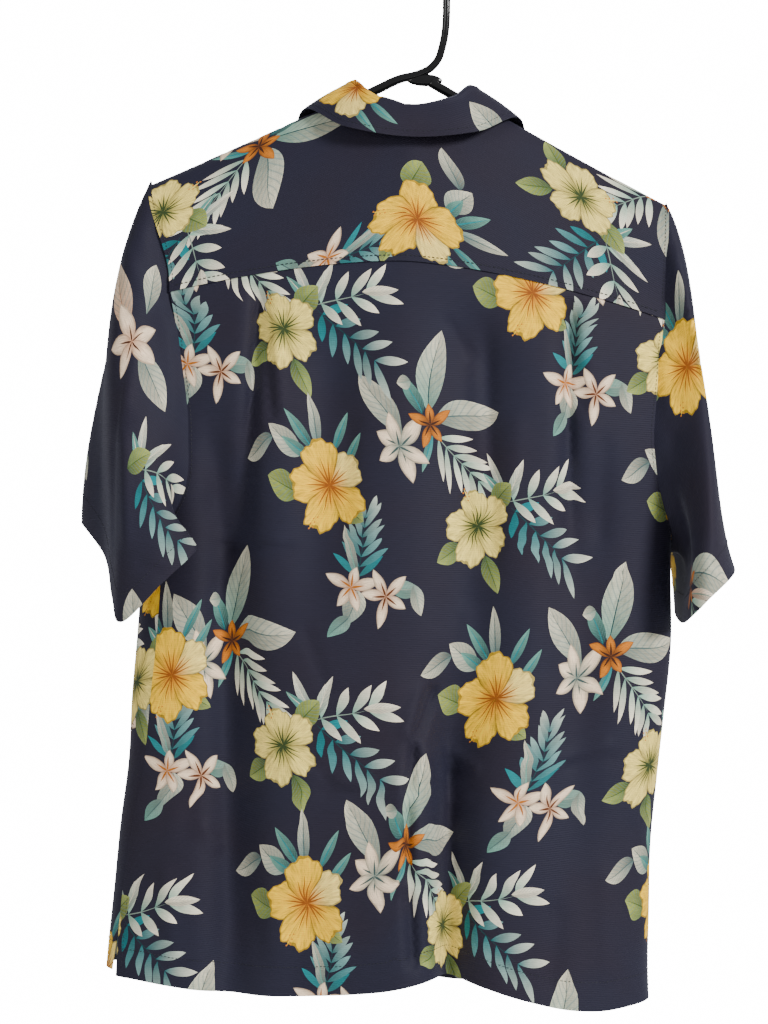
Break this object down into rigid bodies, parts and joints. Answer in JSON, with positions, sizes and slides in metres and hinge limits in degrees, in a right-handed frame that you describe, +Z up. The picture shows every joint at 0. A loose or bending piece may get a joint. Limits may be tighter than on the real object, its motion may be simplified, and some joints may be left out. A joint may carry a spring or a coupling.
{
  "type": "hawaiian shirt on a hanger",
  "caption": "Short-sleeved camp shirt with a tropical flower print, open collar and side vents, hung by its shoulders on a black tube hanger with a hook.",
  "frame": {"origin": "inside top of the hanger's hook, where a rail would carry it", "axes": "+Z up, +X to the wearer's left, +Y to the wearer's back"},
  "size_m": [0.5418, 0.1623, 0.8631],
  "materials": {
    "cloth": "printed crepe weave with a low sheen",
    "shell": "polished brown, four holes",
    "plastic": "smooth gloss black"
  },
  "bodies": {
    "root": {"back": "cloth", "yoke": "cloth", "front_left": "cloth", "front_right": "cloth", "sleeve_left": "cloth", "sleeve_right": "cloth", "collar": "cloth", "lapel_left": "cloth", "lapel_right": "cloth", "button_1": "shell", "button_2": "shell", "button_3": "shell", "button_4": "shell", "button_5": "shell", "hanger": "plastic"}
  },
  "joints": []
}
